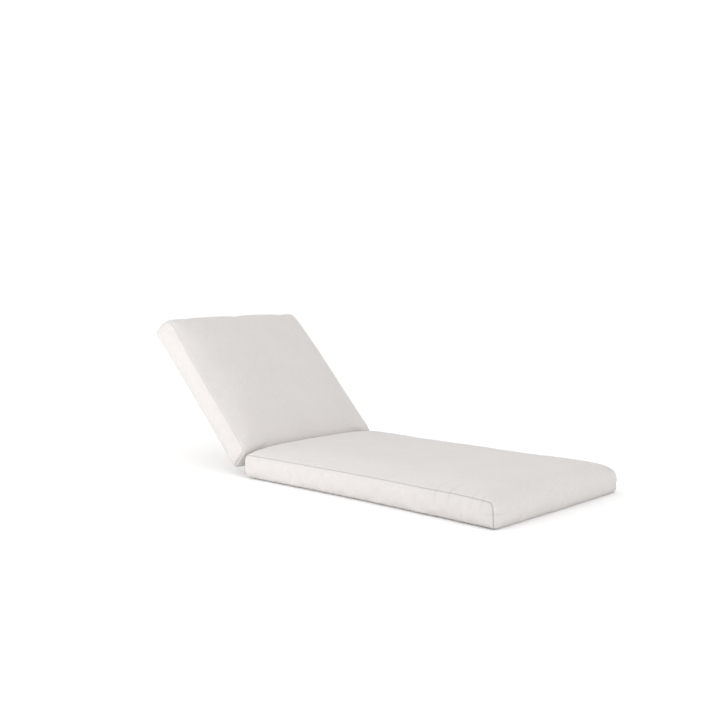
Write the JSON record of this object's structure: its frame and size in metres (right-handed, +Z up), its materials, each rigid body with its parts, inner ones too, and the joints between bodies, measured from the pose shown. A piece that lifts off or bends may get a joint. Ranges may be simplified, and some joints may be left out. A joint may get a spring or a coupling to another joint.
{
  "type": "sun lounger cushion",
  "caption": "Filled off-white cushion for a sun lounger: a long flat seat pad and a reclined back pad, each with boxed side panels.",
  "frame": {"origin": "the middle of the seat pad's flat underside, which rests on the lounger's deck or the ground", "axes": "+X runs along the cushion to the foot end, -Y is the near side in the picture, +Z is up"},
  "size_m": [1.8191, 0.7668, 0.6131],
  "materials": {
    "cover_cloth": "matt off-white woven outdoor cloth"
  },
  "bodies": {
    "root": {"seat_pad": "cover_cloth", "seat_side_near": "cover_cloth", "seat_side_far": "cover_cloth", "back_pad": "cover_cloth", "back_side_near": "cover_cloth", "back_side_far": "cover_cloth"}
  },
  "joints": []
}
